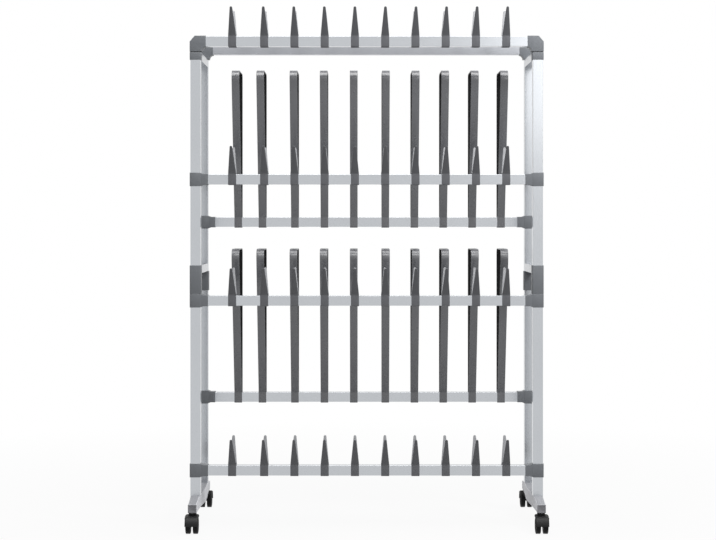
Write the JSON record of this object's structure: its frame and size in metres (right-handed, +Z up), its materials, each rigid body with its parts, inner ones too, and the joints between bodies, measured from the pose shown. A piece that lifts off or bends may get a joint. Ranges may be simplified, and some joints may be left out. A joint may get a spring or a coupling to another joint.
{
  "type": "shoe rack",
  "caption": "Free-standing shoe and boot rack of square tube on swivel castors, with two-pronged shoe holders on the front rails and tall looped boot holders on the rear rails.",
  "frame": {"origin": "on the floor under the middle of the rack", "axes": "+X along the rails towards the right-hand posts, +Y from the shoe side to the boot side, +Z up"},
  "size_m": [1.2152, 0.6116, 1.7697],
  "materials": {
    "tube": "satin anodised",
    "connector": "moulded, satin",
    "holder": "moulded, satin",
    "foot": "moulded, satin",
    "castor": "moulded, satin",
    "wheel": "hard tread",
    "steel": "zinc plated",
    "screw": "zinc plated"
  },
  "bodies": {
    "rack": {"lower_post_front_left": "tube", "lower_post_front_right": "tube", "lower_post_rear_left": "tube", "lower_post_rear_right": "tube", "upper_post_front_left": "tube", "upper_post_front_right": "tube", "upper_post_rear_left": "tube", "upper_post_rear_right": "tube", "rail_front_top": "tube", "rail_front_upper": "tube", "rail_front_middle": "tube", "rail_front_bottom": "tube", "rail_rear_top": "tube", "rail_rear_upper": "tube", "rail_rear_lower": "tube", "crossbar_top_left": "tube", "crossbar_top_right": "tube", "crossbar_mid_left": "tube", "crossbar_mid_right": "tube", "corner_connector_front_left": "connector", "corner_connector_front_right": "connector", "corner_connector_rear_left": "connector", "corner_connector_rear_right": "connector", "t_connectors_front_upper": "connector", "t_connectors_front_middle": "connector", "t_connectors_front_bottom": "connector", "t_connectors_rear_upper": "connector", "t_connectors_rear_lower": "connector", "side_connectors_top": "connector", "crossbar_plugs_top": "connector", "side_connectors_mid_front": "connector", "side_connectors_mid_rear": "connector", "shoe_holders_top": "holder", "shoe_holders_upper": "holder", "shoe_holders_middle": "holder", "shoe_holders_bottom": "holder", "boot_holders_upper": "holder", "boot_holders_lower": "holder", "foot_left": "foot", "foot_right": "foot", "foot_end_plugs": "connector", "connector_screws": "screw", "castor_stems": "steel"},
    "castor_front_left": {"castor_hood_front_left": "castor", "castor_axle_front_left": "steel"},
    "wheel_front_left_outer": {"wheel_front_left_outer": "wheel"},
    "wheel_front_left_inner": {"wheel_front_left_inner": "wheel"},
    "castor_front_right": {"castor_hood_front_right": "castor", "castor_axle_front_right": "steel"},
    "wheel_front_right_outer": {"wheel_front_right_outer": "wheel"},
    "wheel_front_right_inner": {"wheel_front_right_inner": "wheel"},
    "castor_rear_left": {"castor_hood_rear_left": "castor", "castor_axle_rear_left": "steel"},
    "wheel_rear_left_outer": {"wheel_rear_left_outer": "wheel"},
    "wheel_rear_left_inner": {"wheel_rear_left_inner": "wheel"},
    "castor_rear_right": {"castor_hood_rear_right": "castor", "castor_axle_rear_right": "steel"},
    "wheel_rear_right_outer": {"wheel_rear_right_outer": "wheel"},
    "wheel_rear_right_inner": {"wheel_rear_right_inner": "wheel"}
  },
  "joints": [
    {"name": "castor_front_left_swivel", "type": "hinge", "parent": "rack", "child": "castor_front_left", "pos_m": [-0.5842, -0.254, 0.062], "axis": [0, 0, 1], "continuous": true},
    {"name": "wheel_front_left_outer_spin", "type": "hinge", "parent": "castor_front_left", "child": "wheel_front_left_outer", "pos_m": [-0.5842, -0.274, 0.0285], "axis": [1, 0, 0], "continuous": true},
    {"name": "wheel_front_left_inner_spin", "type": "hinge", "parent": "castor_front_left", "child": "wheel_front_left_inner", "pos_m": [-0.5842, -0.274, 0.0285], "axis": [1, 0, 0], "continuous": true},
    {"name": "castor_front_right_swivel", "type": "hinge", "parent": "rack", "child": "castor_front_right", "pos_m": [0.5842, -0.254, 0.062], "axis": [0, 0, 1], "continuous": true},
    {"name": "wheel_front_right_outer_spin", "type": "hinge", "parent": "castor_front_right", "child": "wheel_front_right_outer", "pos_m": [0.5842, -0.274, 0.0285], "axis": [1, 0, 0], "continuous": true},
    {"name": "wheel_front_right_inner_spin", "type": "hinge", "parent": "castor_front_right", "child": "wheel_front_right_inner", "pos_m": [0.5842, -0.274, 0.0285], "axis": [1, 0, 0], "continuous": true},
    {"name": "castor_rear_left_swivel", "type": "hinge", "parent": "rack", "child": "castor_rear_left", "pos_m": [-0.5842, 0.254, 0.062], "axis": [0, 0, 1], "continuous": true},
    {"name": "wheel_rear_left_outer_spin", "type": "hinge", "parent": "castor_rear_left", "child": "wheel_rear_left_outer", "pos_m": [-0.5842, 0.274, 0.0285], "axis": [1, 0, 0], "continuous": true},
    {"name": "wheel_rear_left_inner_spin", "type": "hinge", "parent": "castor_rear_left", "child": "wheel_rear_left_inner", "pos_m": [-0.5842, 0.274, 0.0285], "axis": [1, 0, 0], "continuous": true},
    {"name": "castor_rear_right_swivel", "type": "hinge", "parent": "rack", "child": "castor_rear_right", "pos_m": [0.5842, 0.254, 0.062], "axis": [0, 0, 1], "continuous": true},
    {"name": "wheel_rear_right_outer_spin", "type": "hinge", "parent": "castor_rear_right", "child": "wheel_rear_right_outer", "pos_m": [0.5842, 0.274, 0.0285], "axis": [1, 0, 0], "continuous": true},
    {"name": "wheel_rear_right_inner_spin", "type": "hinge", "parent": "castor_rear_right", "child": "wheel_rear_right_inner", "pos_m": [0.5842, 0.274, 0.0285], "axis": [1, 0, 0], "continuous": true}
  ]
}
